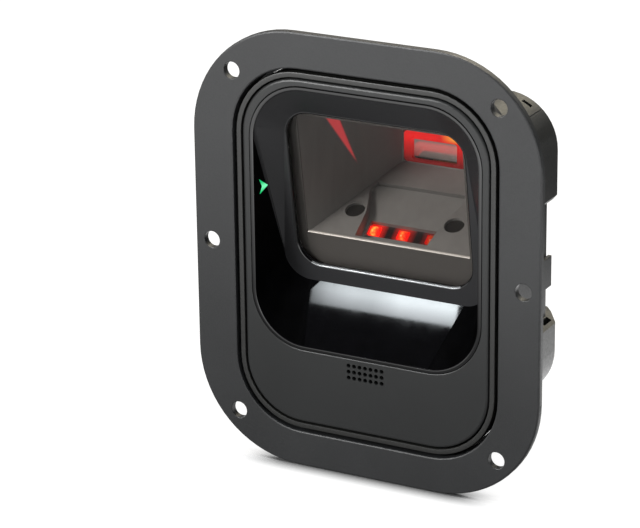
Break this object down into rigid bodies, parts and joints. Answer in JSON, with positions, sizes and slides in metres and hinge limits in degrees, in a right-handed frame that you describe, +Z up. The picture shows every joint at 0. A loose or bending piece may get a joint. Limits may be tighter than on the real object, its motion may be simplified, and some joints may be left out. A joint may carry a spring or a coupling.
{
  "type": "fixed barcode reader",
  "caption": "Flush panel-mount barcode reader: a scanner head with a sunken tilted window, red aiming light and speaker grille, held in a round-cornered flange with fixing holes.",
  "frame": {"origin": "centre of the flange's back face, where it meets the panel", "axes": "+Z up along the height, +Y backwards into the panel along the depth, +X to the right seen from the front"},
  "size_m": [0.1094, 0.058, 0.1314],
  "materials": {
    "flange_plastic": "moulded ABS, fine matt grain, dark grey",
    "housing_plastic": "moulded ABS, fine matt grain, dark grey",
    "bezel_plastic": "moulded ABS, fine matt grain, charcoal",
    "surround_plastic": "polished black polycarbonate",
    "seal_rubber": "black foam and adhesive",
    "window_acrylic": "clear acrylic with a faint warm grey tint",
    "chamber_plastic": "moulded ABS, smooth matt, mid grey",
    "bright_steel": "zinc-plated steel",
    "black_steel": "blackened steel",
    "red_light": "lit red",
    "mirror_glass": "front-silvered glass",
    "circuit_board": "solder-masked laminate",
    "black_plastic": "matt black plastic",
    "lens_glass": "coated lens glass",
    "sensor_filter": "dark infra-red filter",
    "green_light": "lit green lens",
    "led_strip": "LED package on a flexible strip",
    "gold_contact": "gold-plated spring contacts",
    "ribbon_film": "amber polyimide film"
  },
  "bodies": {
    "root": {"mounting_flange": "flange_plastic", "rear_housing": "housing_plastic", "front_bezel": "bezel_plastic", "window_surround": "surround_plastic", "bezel_seal": "seal_rubber", "window_seal": "seal_rubber", "speaker_gasket": "seal_rubber", "window_pane": "window_acrylic", "optical_chamber": "chamber_plastic", "chamber_screws": "bright_steel", "board_screws": "bright_steel", "shield_can": "bright_steel", "housing_screws": "black_steel", "light_frame": "red_light", "red_leds": "red_light", "fold_mirror": "mirror_glass", "camera_board": "circuit_board", "led_board": "circuit_board", "main_board": "circuit_board", "lens_holder": "black_plastic", "lens_barrel": "black_plastic", "image_sensor": "black_plastic", "processor": "black_plastic", "memory_chips": "black_plastic", "cable_socket": "black_plastic", "speaker": "black_plastic", "front_lens": "lens_glass", "sensor_window_left": "sensor_filter", "sensor_window_right": "sensor_filter", "good_read_lens_left": "green_light", "good_read_lens_right": "green_light", "good_read_led_left": "led_strip", "good_read_led_right": "led_strip", "socket_contacts": "gold_contact", "camera_ribbon": "ribbon_film"}
  },
  "joints": []
}
